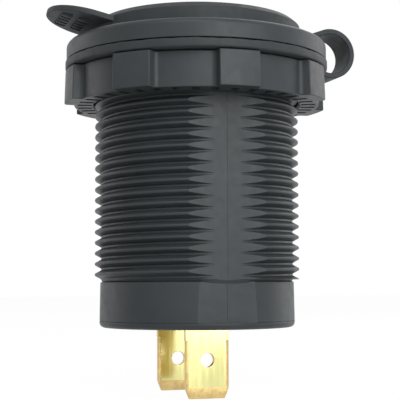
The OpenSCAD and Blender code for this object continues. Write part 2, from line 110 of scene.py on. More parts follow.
class BarrelSizes(bpy.types.PropertyGroup):
    """Sizes of the threaded barrel and its flange."""

    pitch: length("Thread pitch", "Rise of the thread in one turn", 1.5)
    crest_radius: length("Crest radius", "Radius over the thread's crests", 14.5)
    root_radius: length("Root radius", "Radius at the thread's roots", 13.6)
    crest_round: length("Crest rounding", "Radius on the thread's crests", 0.2)
    root_round: length("Root rounding", "Radius in the thread's roots", 0.08)
    thread_start: angle("Thread start", "Turn of the thread about the axis", 223)
    thread_end: length("Thread end", "Height at which the thread ends", -29.8)
    groove_depth: length("Groove depth", "Depth of the fine groove under the thread", 0.3)
    groove_half: length("Groove half height", "Half of that groove's height at its mouth", 0.15)
    groove_drop: length("Groove drop", "How far the groove's bottom lies below its mouth", 0.4)
    tail_top: length("Tail top radius", "Radius of the smooth tail under the thread", 13.7)
    tail_low: length("Tail foot radius", "Radius of the smooth tail at its foot", 13.8)
    flat: length("Flat distance", "Distance from the axis to each flat", 13.5)
    parting_width: length("Parting line width", "Width of the fine ridge along each flat", 0.14)
    parting_rise: length("Parting line rise", "Height of that ridge", 0.05)
    tail_flat: length("Tail flat distance", "Distance from the axis to the tail's flats", 13.2)
    flat_crown: angle("Flat crown", "Tilt of each half of a flat from the parting line", 0.7)
    neck: length("Neck radius", "Radius of the neck inside the seal ring", 14.4)
    flange_edge: length("Flange edge", "Radius of the flange's upper edge", 0.8)
    small_edge: length("Small edges", "Radius on the moulded edges", 0.1)
    mouth: length("Mouth radius", "Radius of the mouth recess", 11.65)
    mouth_chamfer: length("Mouth chamfer", "Chamfer at the mouth's edge", 0.3)
    bore: length("Bore radius", "Radius of the bore around the sleeve", 11.25)
    chamber: length("Chamber radius", "Radius of the rear chamber", 12.2)
    chamber_top: length("Chamber top", "Height of the rear chamber's ceiling", -32.6)
    rivet_hole: length("Rivet hole radius", "Radius of the rivet holes in the floor", 1.3)


class NutSizes(bpy.types.PropertyGroup):
    """Sizes of the ring nut."""

    lands: bpy.props.IntProperty(
        name="Lands", description="Number of raised lands around the nut", default=8, min=3)
    land_angle: angle("Land angle", "Angle that each land covers", 17)
    land_depth: length("Land depth", "Depth of the recesses between the lands", 1.4)
    land_edge: length("Land edge", "Radius on the lands' upright edges", 0.15)
    foot_angle: angle("Foot angle", "Angle from a land's edge to its foot", 1.1)
    foot_round: length("Foot fillet", "Fillet at the foot of each land", 0.7)
    draft: length("Draft", "How far the lands lean in towards the top", 0.15)
    rim: length("Rim edge", "Rounding of the nut's upper and lower edges", 0.18)
    bore: length("Bore radius", "Radius of the nut's bore", 14.62)
    pockets: bpy.props.IntProperty(
        name="Pockets", description="Number of core pockets in the underside", default=40, min=3)
    pocket_width: length("Pocket width", "Width of each pocket", 1.0)
    pocket_inner: length("Pocket inner radius", "Radius at which the pockets start", 15.0)
    pocket_outer: length("Pocket outer radius", "Radius at which the pockets end", 17.0)
    pocket_depth: length("Pocket depth", "Depth of the pockets", 3.0)


class CapSizes(bpy.types.PropertyGroup):
    """Sizes of the cap, its tab, the strap and the seal ring."""

    bevel_height: length("Bevel height", "Height of the bevel around the cap's top", 0.75)
    bevel_width: length("Bevel width", "Width of that bevel", 0.9)
    rim_width: length("Rim width", "Width of the rim around the dish", 1.2)
    dish: length("Dish depth", "Depth of the dish in the cap's top", 0.3)
    foot: length("Cap foot", "Height of the closed cap's underside", 4.01)
    height: length("Cap height", "Height of the cap's disc", 3.0)
    soft_edge: length("Soft edge", "Radius on the cap's moulded edges", 0.25)
    plug_root: length("Plug root radius", "Radius of the hollow plug at the cap", 11.5)
    plug_tip: length("Plug tip radius", "Radius of the hollow plug at its lower edge", 11.2)
    plug_wall: length("Plug wall", "Wall of the hollow plug", 1.2)
    tab_reach: length("Tab reach", "Distance from the axis to the tab's tip before it rises", 22.0)
    tab_width: length("Tab width", "Width of the pull tab", 12.0)
    tab_thick: length("Tab thickness", "Thickness of the pull tab", 0.85)
    tab_rise: angle("Tab rise", "Angle at which the tab rises outward", 13)
    grip_height: length("Grip height", "Height of the grip bars under the tab", 0.35)
    grip_length: length("Grip length", "Length of the grip bars", 1.5)
    grip_width: length("Grip width", "Width of the grip bars", 0.7)
    grip_pitch: length("Grip pitch", "Distance from one grip bar to the next", 1.35)
    grip_start: length("Grip start", "Distance from the cap's side to the first row", 1.6)
    grip_gap: length("Grip gap", "Gap between the two rows of grip bars", 0.8)
    strap_thick: length("Strap thickness", "Thickness of the strap", 0.8)
    loop_radius: length("Loop radius", "Outer radius of the strap's loop", 3.7)
    loop_x: length("Loop distance", "Distance from the axis to the loop's middle", 20.2)
    loop_z: length("Loop height", "Height of the loop's middle", 3.65)
    strap_sink: length("Strap sink", "How far the strap's ends run into their neighbours", 0.3)
    seal_edge: length("Seal edge", "Radius on the seal ring's outer edges", 0.3)
    seam_height: length("Seam height", "Height of the open seam over the seal ring", 0.16)
    seam_depth: length("Seam depth", "How far the open seam runs in", 0.7)
    seam_wander: length("Seam wander", "How far the seam's edge wanders", 0.07)


class InsideSizes(bpy.types.PropertyGroup):
    """Sizes of the sleeve, the centre contact, the rivets and the blades."""

    sheet: length("Sheet", "Sheet thickness of the sleeve", 0.5)
    sleeve: length("Sleeve radius", "Inside radius of the sleeve", 10.7)
    step: length("Step", "Width of the step above the sleeve's foot", 0.35)
    step_z: length("Step height", "Height of the step inside the sleeve", -27.0)
    tongue_length: length("Tongue length", "Length of the spring tongues", 7.0)
    tongue_width: length("Tongue width", "Width of the spring tongues", 3.5)
    tongue_cut: length("Tongue cut", "Width of the cut around each tongue", 0.7)
    tongue_top: length("Tongue top", "Height of the tongues' free ends", -5.0)
    bush_hole: length("Bush hole radius", "Radius of the sleeve's hole for the bush", 3.0)
    rivet: length("Rivet radius", "Radius of the rivets' shanks", 1.2)
    rivet_head: length("Rivet head radius", "Radius of the rivets' heads", 1.9)
    rivet_head_height: length("Rivet head height", "Height of the rivets' heads", 0.6)
    fit_gap: length("Fit gap", "Gap around the rivets, the bush and the blades", 0.1)
    contact_sheet: length("Contact sheet", "Sheet thickness of the centre contact", 0.5)
    blade: length("Blade thickness", "Sheet thickness of the blades", 0.8)
    blade_edge: length("Blade edge", "Rounding of the blades' edges", 0.05)
    cover_edge: length("Cover edge", "Radius on the rear cover's lower edge", 0.7)
    cover_seam: length("Cover seam", "Height of the seam above the rear cover", -35.4)


class Finishes(bpy.types.PropertyGroup):
    """Colours of the materials."""

    plastic: colour("Plastic", "Moulded barrel, nut and cover", 0.032, 0.0375, 0.0405)
    rubber: colour("Rubber", "Cap, strap and seal ring", 0.029, 0.034, 0.0365)
    brass: colour("Brass", "Blades", 0.78, 0.74, 0.33)
    # The dull brass is a browner, darker copy of the brass: painted shade on the blades' edges and
    # on the front blade's inner side.
    dull_brass: colour("Dull brass", "Coined edges and inner sides of the blades", 0.60, 0.44, 0.19)
    plate: colour("Plating", "Sleeve", 0.66, 0.65, 0.62)
    bush: colour("Bush", "Insulating bush", 0.55, 0.50, 0.40)
    backdrop: colour("Backdrop", "Floor and backdrop", 0.92, 0.92, 0.92)


class SocketSettings(bpy.types.PropertyGroup):
    """All sizes and colours of the power socket."""

    barrel: bpy.props.PointerProperty(type=BarrelSizes)
    nut: bpy.props.PointerProperty(type=NutSizes)
    cap: bpy.props.PointerProperty(type=CapSizes)
    inside: bpy.props.PointerProperty(type=InsideSizes)
    finish: bpy.props.PointerProperty(type=Finishes)


# Outlines

def rounded(corners, closed=True, steps=4):
    """Points of an outline whose corners, given as (x, y, radius), are rounded by arcs."""
    points = []
    for i, (x, y, radius) in enumerate(corners):
        here = Vector((x, y))
        at_end = not closed and i in (0, len(corners) - 1)
        if radius <= 0 or at_end:
            points.append(here)
            continue
        back = (Vector(corners[i - 1][:2]) - here).normalized()
        ahead = (Vector(corners[(i + 1) % len(corners)][:2]) - here).normalized()
        half = back.angle(ahead) / 2
        middle = here + (back + ahead).normalized() * (radius / math.sin(half))
        start = here + back * (radius / math.tan(half)) - middle
        sweep = math.pi - 2 * half
        if start.x * (here - middle).y - start.y * (here - middle).x < 0:
            sweep = -sweep
        for step in range(steps + 1):
            turned = Matrix.Rotation(sweep * step / steps, 2) @ start
            points.append(middle + turned)
    return points


def polar(radius, turn):
    """The point at a radius and an angle."""
    return Vector((radius * math.cos(turn), radius * math.sin(turn)))


# Modelling steps

def only(piece):
    """Select this piece alone."""
    bpy.ops.object.select_all(action="DESELECT")
    piece.select_set(True)
    bpy.context.view_layer.objects.active = piece


def edit(piece, action="SELECT"):
    """Enter edit mode with all selected or nothing selected."""
    only(piece)
    bpy.ops.object.mode_set(mode="EDIT")
    bpy.ops.mesh.select_all(action=action)


def leave_edit():
    """Return to object mode, with vertices to be selected next."""
    bpy.ops.mesh.select_mode(type="VERT")
    bpy.ops.object.mode_set(mode="OBJECT")


def edit_only(piece, kind, chosen):
    """Enter edit mode with the faces or edges selected that pass a test."""
    edit(piece, "DESELECT")
    bpy.ops.mesh.select_mode(type=kind)
    bpy.ops.object.mode_set(mode="OBJECT")
    for part in piece.data.polygons if kind == "FACE" else piece.data.edges:
        part.select = chosen(part)
    bpy.ops.object.mode_set(mode="EDIT")


def clean(piece):
    """Merge doubles, drop loose bits and point the faces outwards."""
    edit(piece)
    bpy.ops.mesh.remove_doubles(threshold=MERGE)
    bpy.ops.mesh.dissolve_degenerate(threshold=MERGE / 10)
    bpy.ops.mesh.delete_loose()
    bpy.ops.mesh.select_all(action="SELECT")
    bpy.ops.mesh.normals_make_consistent(inside=False)
    leave_edit()


def wire(name, points, upright, is_open=False):
    """A wire outline on a circle primitive, in the XZ plane where it is upright, or else in XY."""
    bpy.ops.object.select_all(action="DESELECT")
    bpy.ops.mesh.primitive_circle_add(vertices=len(points), radius=MM)
    piece = bpy.context.object
    piece.name = name
    for vertex, point in zip(piece.data.vertices, points):
        vertex.co = (point[0], 0, point[1]) if upright else (point[0], point[1], 0)
    if is_open:
        ends = {0, len(points) - 1}
        edit_only(piece, "EDGE", lambda line: set(line.vertices) == ends)
        bpy.ops.mesh.delete(type="EDGE")
        leave_edit()
    return piece


def turned(name, corners, sides=144, steps=4):
    """A turned piece from (radius, height, rounding) corners, closed if it starts at the axis."""
    solid = corners[0][0] == 0
    piece = wire(name, rounded(corners, not solid, steps), upright=True, is_open=solid)
    screw(piece, sides)
    clean(piece)
    return piece


def screw(piece, sides, rise=0.0, turns=1):
    """Turn an outline about Z, rising with each turn."""
    only(piece)
    step = piece.modifiers.new("Turn", "SCREW")
    step.steps = sides
    step.render_steps = sides
    step.screw_offset = rise
    step.iterations = turns
    step.use_merge_vertices = rise == 0
    step.merge_threshold = MERGE
    bpy.ops.object.modifier_apply(modifier=step.name)


def plate(name, points, start, end, upright=False):
    """An outline filled and extruded from one height to another, or along Y where it is upright."""
    piece = wire(name, points, upright)
    edit(piece)
    bpy.ops.mesh.edge_face_add()
    away = Vector((0, 1, 0)) if upright else Vector((0, 0, 1))
    bpy.ops.transform.translate(value=away * start)
    bpy.ops.mesh.extrude_region_move(
        TRANSFORM_OT_translate={"value": away * (end - start)})
    leave_edit()
    clean(piece)
    return piece


def fan_ends(piece):
    """Divide the flat ends of an extrusion into fans about the axis, so that a hole cuts clean."""
    edit_only(piece, "FACE", lambda face: abs(face.normal.z) > 0.99)
    bpy.ops.mesh.poke(center_mode="MEDIAN")
    leave_edit()


def block(name, low, high):
    """A box between two corners."""
    low, high = Vector(low), Vector(high)
    bpy.ops.object.select_all(action="DESELECT")
    bpy.ops.mesh.primitive_cube_add(size=1)
    piece = bpy.context.object
    piece.name = name
    edit(piece)
    bpy.ops.transform.resize(value=high - low)
    bpy.ops.transform.translate(value=(low + high) / 2)
    leave_edit()
    return piece


def combine(piece, other, operation="DIFFERENCE"):
    """Cut another piece away from this one, or join it on."""
    only(piece)
    step = piece.modifiers.new("Combine", "BOOLEAN")
    step.object = other
    step.operation = operation
    step.solver = "MANIFOLD"
    bpy.ops.object.modifier_apply(modifier=step.name)
    bpy.data.objects.remove(other)
    return piece


def drill(piece, radius, y, high, low):
    """Drill an upright hole at a place on the Y axis."""
    hole = turned("hole", [(0, high, 0), (radius, high, 0), (radius, low, 0), (0, low, 0)], 32)
    hole.data.transform(Matrix.Translation((0, y, 0)))
    combine(piece, hole)


def soften(piece, width, limit=50, segments=2):
    """Round the edges that are sharper than a limit, in degrees."""
    only(piece)
    step = piece.modifiers.new("Round", "BEVEL")
    step.width = width
    step.segments = segments
    step.limit_method = "ANGLE"
    step.angle_limit = math.radians(limit)
    step.use_clamp_overlap = True
    step.miter_outer = "MITER_ARC"
    bpy.ops.object.modifier_apply(modifier=step.name)


def copy_of_node(name, node):
    """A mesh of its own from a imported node, merged so that it can be finished."""
    piece = bpy.data.objects.new(name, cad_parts[node].data.copy())
    bpy.context.scene.collection.objects.link(piece)
    edit(piece)
    bpy.ops.mesh.remove_doubles(threshold=MERGE)
    bpy.ops.mesh.dissolve_limited(angle_limit=math.radians(0.5))
    leave_edit()
    return piece


def hand_over(piece, body, slot, look, *nodes, smooth=30):
    """Shade a finished piece, give it its finish and hand it to the frame.

    A piece that bends between two bodies names no body here.
    """
    only(piece)
    bpy.ops.object.shade_smooth_by_angle(angle=math.radians(smooth), keep_sharp_edges=True)
    shade = piece.modifiers.new("Even shading", "WEIGHTED_NORMAL")
    shade.keep_sharp = True
    bpy.ops.object.modifier_apply(modifier=shade.name)
    piece.data.materials.clear()
    piece.data.materials.append(finish(look))
    if body:
        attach(piece, body)
    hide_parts(*nodes)


# Materials

# A finish is a tone and three noises: clouds between two shades of the tone, a gloss between two
# values of roughness, and a grain with its height in millimetres and its strength. A noise is
# features in a metre, detail, and stretch along Z. The shader's own values come last.
FINISHES = {
    # Satin moulded plastic with faint flow clouds and a fine grain
    "moulded_plastic": (
        "plastic", (220, 3, 1), (0.9, 1.1), (900, 2, 1), (0.40, 0.50),
        (5200, 2, 1), (0.02, 0.35), {"Specular IOR Level": 0.25}),
    # Matt rubber with soft clouds, a fine tooth and a dusty sheen at grazing angles
    "matt_rubber": (
        "rubber", (300, 3, 1), (0.88, 1.12), (1200, 2, 1), (0.52, 0.66), (3800, 3, 1), (0.03, 0.4),
        {"Specular IOR Level": 0.25, "Sheen Weight": 0.04, "Sheen Roughness": 0.5}),
    # Rolled brass strip with fine lines along the blade and a slow drift of tone
    "rolled_brass": (
        "brass", (160, 2, 1), (0.92, 1.05), (2600, 3, 0.04), (0.10, 0.20),
        (3200, 2, 0.03), (0.003, 0.3), {"Metallic": 1.0}),
    # Coined brass for the blades' edges and the front blade's inner side: browner as painted shade,
    # duller and finely grained
    "dull_brass": (
        "dull_brass", (900, 3, 1), (0.85, 1.12), (2600, 3, 1), (0.24, 0.38),
        (4200, 2, 1), (0.004, 0.3), {"Metallic": 1.0}),
    # Plated drawn can with draw lines along the axis
    "drawn_plating": (
        "plate", (200, 2, 1), (0.92, 1.04), (2400, 3, 0.05), (0.16, 0.30),
        (3000, 2, 0.04), (0.005, 0.25), {"Metallic": 1.0}),
    # Natural insulating plastic
    "bush_plastic": (
        "bush", (500, 2, 1), (0.92, 1.06), (1500, 2, 1), (0.42, 0.52),
        (5000, 2, 1), (0.01, 0.3), {}),
}
NOISE_MIDDLE = (0.3, 0.7)


def add_node(tree, kind, inputs=None, **settings):
    """Add a node with its settings, and a link or a constant at each input that is given."""
    node = tree.nodes.new(kind)
    for name, value in settings.items():
        setattr(node, name, value)
    for name, value in (inputs or {}).items():
        if isinstance(value, bpy.types.NodeSocket):
            tree.links.new(value, node.inputs[name])
        else:
            node.inputs[name].default_value = value
    return node


def noise(tree, features, detail, stretch, span=None):
    """Noise on object coordinates, its middle range mapped onto a span of values."""
    place = add_node(tree, "ShaderNodeTexCoord").outputs["Object"]
    if stretch != 1:
        place = add_node(tree, "ShaderNodeMapping", {
            "Scale": (1, 1, stretch), "Vector": place}).outputs["Vector"]
    value = add_node(tree, "ShaderNodeTexNoise", {
        "Scale": features, "Detail": detail, "Vector": place}).outputs["Fac"]
    if span:
        value = add_node(tree, "ShaderNodeMapRange", {
            "From Min": NOISE_MIDDLE[0], "From Max": NOISE_MIDDLE[1],
            "To Min": span[0], "To Max": span[1], "Value": value}).outputs["Result"]
    return value


def finish(name):
    """The material of one of the finishes, made anew from its tone."""
    tone, clouds, shades, gloss, rough, grain, (height, strength), constants = FINISHES[name]
    tone = getattr(bpy.context.scene.power_socket.finish, tone)
    material = bpy.data.materials.get(name) or bpy.data.materials.new(name)
    material.use_nodes = True
    tree = material.node_tree
    tree.nodes.clear()
    dark, light = ((*[min(1, channel * shade) for channel in tone], 1) for shade in shades)
    tint = add_node(tree, "ShaderNodeMix", {
        "A": dark, "B": light, "Factor": noise(tree, *clouds, (0, 1))}, data_type="RGBA")
    relief = add_node(tree, "ShaderNodeBump", {
        "Strength": strength, "Distance": height * MM, "Height": noise(tree, *grain)})
    shader = add_node(tree, "ShaderNodeBsdfPrincipled", {
        "Base Color": tint.outputs["Result"], "Roughness": noise(tree, *gloss, rough),
        "Normal": relief.outputs["Normal"], **constants})
    add_node(tree, "ShaderNodeOutputMaterial", {"Surface": shader.outputs["BSDF"]})
    return material


# Barrel

def thread_solid(sizes):
    """The helical thread as a closed solid, from just under the panel face to the groove."""
    root, crest, pitch = sizes.root_radius, sizes.crest_radius, sizes.pitch
    foot_share, crest_share = 0.08, 0.40
    corners = [
        (root, 0, 0),
        (root, pitch * foot_share, sizes.root_round),
        (crest, pitch * crest_share, sizes.crest_round),
        (crest, pitch * (1 - crest_share), sizes.crest_round),
        (root, pitch * (1 - foot_share), sizes.root_round),
        (root, pitch, 0),
    ]
    piece = wire("thread", rounded(corners, closed=False, steps=3), upright=True, is_open=True)
    turns = math.ceil(-sizes.thread_end / pitch) + 4
    edit(piece)
    bpy.ops.transform.translate(value=(0, 0, sizes.thread_end - 2 * pitch))
    leave_edit()
    screw(piece, 144, pitch, turns)
    clean(piece)
    edit(piece)
    bpy.ops.transform.rotate(value=sizes.thread_start, orient_axis="Z", center_override=(0, 0, 0))
    for height, outer in ((sizes.thread_end + sizes.groove_half, False), (-0.05 * MM, True)):
        bpy.ops.mesh.select_all(action="SELECT")
        bpy.ops.mesh.bisect(
            plane_co=(0, 0, height), plane_no=(0, 0, 1), use_fill=True,
            clear_inner=not outer, clear_outer=outer, threshold=MERGE / 10)
    leave_edit()
    clean(piece)
    return piece


def flat_cutters(sizes, distance):
    """Four blocks that cut the two flats, each half tilted a little from the parting line."""
    cutters = []
    for side in (0, math.pi):
        for half in (-1, 1):
            past = -half * MM / 2
            low = (min(past, half * REACH), -REACH, COVER_HIGH.z - REACH)
            high = (max(past, half * REACH), -distance, 0)
            cutter = block("flat", low, high)
            tilt = Matrix.Translation((0, -distance, 0)) @ Matrix.Rotation(
                half * sizes.flat_crown, 4, "Z") @ Matrix.Translation((0, distance, 0))
            cutter.data.transform(Matrix.Rotation(side, 4, "Z") @ tilt)
            cutters.append(cutter)
    return cutters


def sharpen_flats(piece, distances):
    """Mark the outline of each half of a flat sharp, so that the halves shade as planes."""
    slack = 0.13 * MM

    def on_flat(face):
        """Whether a face lies on one half of a flat."""
        level = face.normal.y * side > 0.999 and abs(face.center.y * side - distance) < slack
        return level and face.center.x * half > 0

    for distance in distances:
        for side, half in ((-1, -1), (-1, 1), (1, -1), (1, 1)):
            edit_only(piece, "FACE", on_flat)
            bpy.ops.mesh.region_to_loop()
            bpy.ops.mesh.mark_sharp()
            leave_edit()


class SOCKET_OT_barrel(bpy.types.Operator):
    """Threaded barrel with its flange, flats, mouth and rear chamber"""

    bl_idname = "power_socket.barrel"
    bl_label = "Barrel"

    def execute(self, context):
        """Model the barrel."""
        sizes = context.scene.power_socket.barrel
        flange, top = BODY_HIGH.x, BODY_HIGH.z
        seal_top = SEAL_HIGH.z
        foot = BODY_LOW.z
        groove = sizes.root_radius - sizes.groove_depth
        neck_foot = -0.1 * MM
        overlap = 0.02 * MM
        core = sizes.root_radius - overlap
        groove_foot = sizes.thread_end - sizes.groove_drop
        barrel = turned("barrel", [
            (0, groove_foot, 0),
            (groove, groove_foot, 0),
            (core, sizes.thread_end + sizes.groove_half, 0),
            (core, neck_foot, 0),
            (sizes.neck, neck_foot, 0),
            (sizes.neck, seal_top, 0),
            (flange, seal_top, sizes.small_edge),
            (flange, top, sizes.flange_edge),
            (0, top, 0),
        ], steps=5)
        combine(barrel, thread_solid(sizes), "UNION")
        tail = turned("tail", [
            (0, foot, 0),
            (sizes.tail_low, foot, sizes.small_edge),
            (sizes.tail_top, sizes.thread_end - sizes.groove_half * 0.3, sizes.small_edge),
            (groove, groove_foot, 0),
            (groove - PAST, groove_foot + sizes.groove_drop, 0),
            (0, groove_foot + sizes.groove_drop, 0),
        ], steps=5)
        for piece, distance in ((barrel, sizes.flat), (tail, sizes.tail_flat)):
            for cutter in flat_cutters(sizes, distance):
                combine(piece, cutter)
        combine(barrel, tail, "UNION")
        for ridge in self.parting_lines(sizes, foot):
            combine(barrel, ridge, "UNION")
        above = 0.5 * MM
        floor = SLEEVE_LOW.z
        lip = SLEEVE_HIGH.z - 0.5 * MM
        combine(barrel, turned("mouth", [
            (0, top + above, 0),
            (sizes.mouth + sizes.mouth_chamfer + above, top + above, 0),
            (sizes.mouth, top - sizes.mouth_chamfer, 0),
            (sizes.mouth, lip, 0),
            (sizes.bore, lip, 0),
            (sizes.bore, floor, 0),
            (0, floor, 0),
        ]))
        combine(barrel, turned("chamber", [
            (0, sizes.chamber_top, 0),
            (sizes.chamber, sizes.chamber_top, 0),
            (sizes.chamber, foot - above, 0),
            (0, foot - above, 0),
        ]))
        for y in (0, SIDE_RIVET_Y):
            drill(barrel, sizes.rivet_hole, y, floor + above, sizes.chamber_top - above)
        sharpen_flats(barrel, (sizes.flat, sizes.tail_flat))
        hand_over(
            barrel, "socket", "barrel_plastic", "moulded_plastic", "socket_body", smooth=32)
        return {"FINISHED"}

    def parting_lines(self, sizes, foot):
        """The fine ridges that the mould's halves leave along the flats."""
        half = sizes.parting_width / 2
        inside = 0.3 * MM
        groove_foot = sizes.thread_end - sizes.groove_drop
        for side in (-1, 1):
            for distance, low, high in (
                    (sizes.flat, sizes.thread_end + sizes.groove_half, SEAL_LOW.z - inside),
                    (sizes.tail_flat, foot + inside / 2, groove_foot - inside / 2)):
                near, far = sorted(
                    (side * (distance + sizes.parting_rise), side * (distance - inside)))
                yield block("parting_line", (-half, near, low), (half, far, high))


class SOCKET_OT_cover(bpy.types.Operator):
    """Rear cover with its rounded edge, spigot and blade slots"""

    bl_idname = "power_socket.cover"
    bl_label = "Rear Cover"

    def execute(self, context):
        """Model the rear cover."""
        sizes = context.scene.power_socket.inside
        radius = COVER_HIGH.x
        seam = sizes.cover_seam
        spigot = context.scene.power_socket.barrel.chamber - sizes.fit_gap
        cover = turned("cover", [
            (0, COVER_LOW.z, 0),
            (radius, COVER_LOW.z, sizes.cover_edge),
            (radius, seam, 0.05 * MM),
            (spigot, seam, 0),
            (spigot, COVER_HIGH.z, 0.2 * MM),
            (0, COVER_HIGH.z, 0),
        ], steps=6)
        gap = sizes.fit_gap
        for low, high, outer in ((FRONT_LOW, FRONT_HIGH, FRONT_LOW.y),
                                 (BACK_LOW, BACK_HIGH, BACK_HIGH.y)):
            near, far = sorted((outer, outer - math.copysign(sizes.blade, outer)))
            combine(cover, block(
                "slot",
                (low.x - gap, near - gap, COVER_LOW.z - PAST),
                (high.x + gap, far + gap, COVER_HIGH.z + PAST)))
        hand_over(cover, "socket", "barrel_plastic", "moulded_plastic", "rear_cover")
        return {"FINISHED"}


class SOCKET_OT_nut(bpy.types.Operator):
    """Ring nut with filleted lands, radial pockets and its bore"""

    bl_idname = "power_socket.nut"
    bl_label = "Ring Nut"

    def execute(self, context):
        """Model the ring nut."""
        sizes = context.scene.power_socket.nut
        outer = NUT_HIGH.x
        recess = outer - sizes.land_depth
        half = sizes.land_angle / 2
        foot = half + sizes.foot_angle
        corners = []
        for land in range(sizes.lands):
            middle = 2 * math.pi * land / sizes.lands
            gap_end = 2 * math.pi / sizes.lands - foot
            for turn in (-half, -half / 2, 0, half / 2, half):
                edge = sizes.land_edge if abs(turn) == half else 0
                corners.append((*polar(outer, middle + turn), edge))
            corners.append((*polar(recess, middle + foot), sizes.foot_round))
            for step in range(7):
                turn = foot + (gap_end - foot) * (0.15 + 0.7 * step / 6)
                corners.append((*polar(recess, middle + turn), 0))
            corners.append((*polar(recess, middle + gap_end), sizes.foot_round))
        nut = plate("ring_nut", rounded(corners, steps=5), NUT_LOW.z, NUT_HIGH.z)
        fan_ends(nut)
        for vertex in nut.data.vertices:
            radius = vertex.co.xy.length
            if vertex.co.z > NUT_LOW.z + MM and radius > recess + sizes.land_depth / 2:
                vertex.co.xy *= (radius - sizes.draft) / radius
        soften(nut, sizes.rim, limit=60)
        lead_in, lead_out, under = 0.2 * MM, 0.3 * MM, 0.1 * MM
        combine(nut, turned("nut_bore", [
            (0, NUT_HIGH.z + PAST, 0),
            (sizes.bore + PAST + lead_in, NUT_HIGH.z + PAST, 0),
            (sizes.bore, NUT_HIGH.z - lead_in, 0),
            (sizes.bore, NUT_LOW.z + lead_out, 0),
            (sizes.bore + lead_out + under, NUT_LOW.z - under, 0),
            (0, NUT_LOW.z - under, 0),
        ]))
        combine(nut, self.pockets(sizes))
        hand_over(nut, "nut", "nut_plastic", "moulded_plastic", "lock_nut")
        return {"FINISHED"}

    def pockets(self, sizes):
        """All the pockets' cutters as one piece."""
        cutter = block(
            "pockets",
            (sizes.pocket_inner, -sizes.pocket_width / 2, NUT_LOW.z - PAST),
            (sizes.pocket_outer, sizes.pocket_width / 2, NUT_LOW.z + sizes.pocket_depth))
        share = (sizes.pockets - 1) / sizes.pockets
        edit(cutter)
        bpy.ops.mesh.spin(
            steps=sizes.pockets - 1, dupli=True, angle=2 * math.pi * share,
            center=(0, 0, 0), axis=(0, 0, 1))
        bpy.ops.mesh.select_all(action="SELECT")
        bpy.ops.mesh.remove_doubles(threshold=MERGE)
        leave_edit()
        return cutter


# Cap, strap and seal ring

class SOCKET_OT_cap(bpy.types.Operator):
    """Rubber cap with its dished top, hollow plug and pull tab"""

    bl_idname = "power_socket.cap"
    bl_label = "Cap"

    def execute(self, context):
        """Model the cap."""
        sizes = context.scene.power_socket.cap
        radius, foot = CAP_HIGH.x, sizes.foot
        top = foot + sizes.height
        rim = radius - sizes.bevel_width - sizes.rim_width
        edge = sizes.soft_edge
        cap = turned("cap", [
            (0, top - sizes.dish, 0),
            (rim - sizes.dish, top - sizes.dish, edge),
            (rim, top, edge / 2),
            (radius - sizes.bevel_width, top, edge),
            (radius, top - sizes.bevel_height, edge),
            (radius, foot, edge / 2),
            (sizes.plug_root, foot, 0),
            (sizes.plug_tip, CAP_LOW.z, edge),
            (sizes.plug_tip - sizes.plug_wall, CAP_LOW.z, edge),
            (sizes.plug_tip - sizes.plug_wall, foot, edge),
            (0, foot, 0),
        ])
        combine(cap, self.tab(sizes, radius, top), "UNION")
        hand_over(cap, "cap", "cap_rubber", "matt_rubber", "dust_cap")
        return {"FINISHED"}

    def tab(self, sizes, radius, top):
        """The pull tab, a flat tongue with a round tip and two rows of grip bars underneath."""
        tip = sizes.tab_width / 2
        reach = sizes.tab_reach
        under = top - sizes.bevel_height - sizes.tab_thick
        root = radius - sizes.tab_thick
        sunk, bar_sunk = 2 * MM, 0.3 * MM
        turns = [math.pi / 2 + math.pi * step / 32 for step in range(33)]
        points = [Vector((tip - reach, 0)) + polar(tip, turn) for turn in turns]
        points += [Vector((sunk - root, -tip)), Vector((sunk - root, tip))]
        tab = plate("tab", points, under, under + sizes.tab_thick)
        soften(tab, 0.18 * MM, limit=60, segments=3)
        for row in range(2):
            start = radius + sizes.grip_start + row * (sizes.grip_length + sizes.grip_gap)
            for place in range(-2, 3):
                y = place * sizes.grip_pitch
                half = sizes.grip_width / 2
                bar = block(
                    "grip",
                    (-start - sizes.grip_length, y - half, under - sizes.grip_height),
                    (-start, y + half, under + bar_sunk))
                soften(bar, 0.1 * MM)
                combine(tab, bar, "UNION")
        edit(tab)
        bpy.ops.transform.rotate(
            value=-sizes.tab_rise, orient_axis="Y", center_override=(-root, 0, under))
        leave_edit()
        return tab


class SOCKET_OT_strap(bpy.types.Operator):
    """Rubber strap that loops from the seal ring to the cap"""

    bl_idname = "power_socket.strap"
    bl_label = "Strap"

    def execute(self, context):
        """Model the strap."""
        sizes = context.scene.power_socket.cap
        middle = Vector((sizes.loop_x, sizes.loop_z))
        thick = sizes.strap_thick
        mean = sizes.loop_radius - thick / 2
        side = sizes.foot + (sizes.height - sizes.bevel_height) / 2
        low_end = Vector((SEAL_HIGH.x, SEAL_HIGH.z / 2))
        high_end = Vector((CAP_HIGH.x, side))
        low_turn = self.tangent(middle, low_end, mean, 1)
        high_turn = self.tangent(middle, high_end, mean, -1)
        if low_turn > 0:
            low_turn -= 2 * math.pi
        if high_turn < 0:
            high_turn += 2 * math.pi
        sink = Vector((sizes.strap_sink, 0))
        steps = 40
        turns = [low_turn + (high_turn - low_turn) * step / steps for step in range(steps + 1)]
        low_side = polar(thick / 2, low_turn)
        high_side = polar(thick / 2, high_turn)
        points = [low_end + low_side - sink]
        points += [middle + polar(mean + thick / 2, turn) for turn in turns]
        points += [high_end + high_side - sink, high_end - high_side - sink]
        points += [middle + polar(mean - thick / 2, turn) for turn in reversed(turns)]
        points += [low_end - low_side - sink]
        strap = plate("strap", points, STRAP_LOW.y, STRAP_HIGH.y, upright=True)
        soften(strap, 0.2 * MM, limit=50, segments=3)
        hand_over(strap, None, "cap_rubber", "matt_rubber", "cap_strap")
        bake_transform(strap)
        return {"FINISHED"}

    def tangent(self, middle, end, radius, turn):
        """The angle at which a line from an end touches the loop's circle."""
        away = end - middle
        return math.atan2(away.y, away.x) + turn * math.acos(radius / away.length)


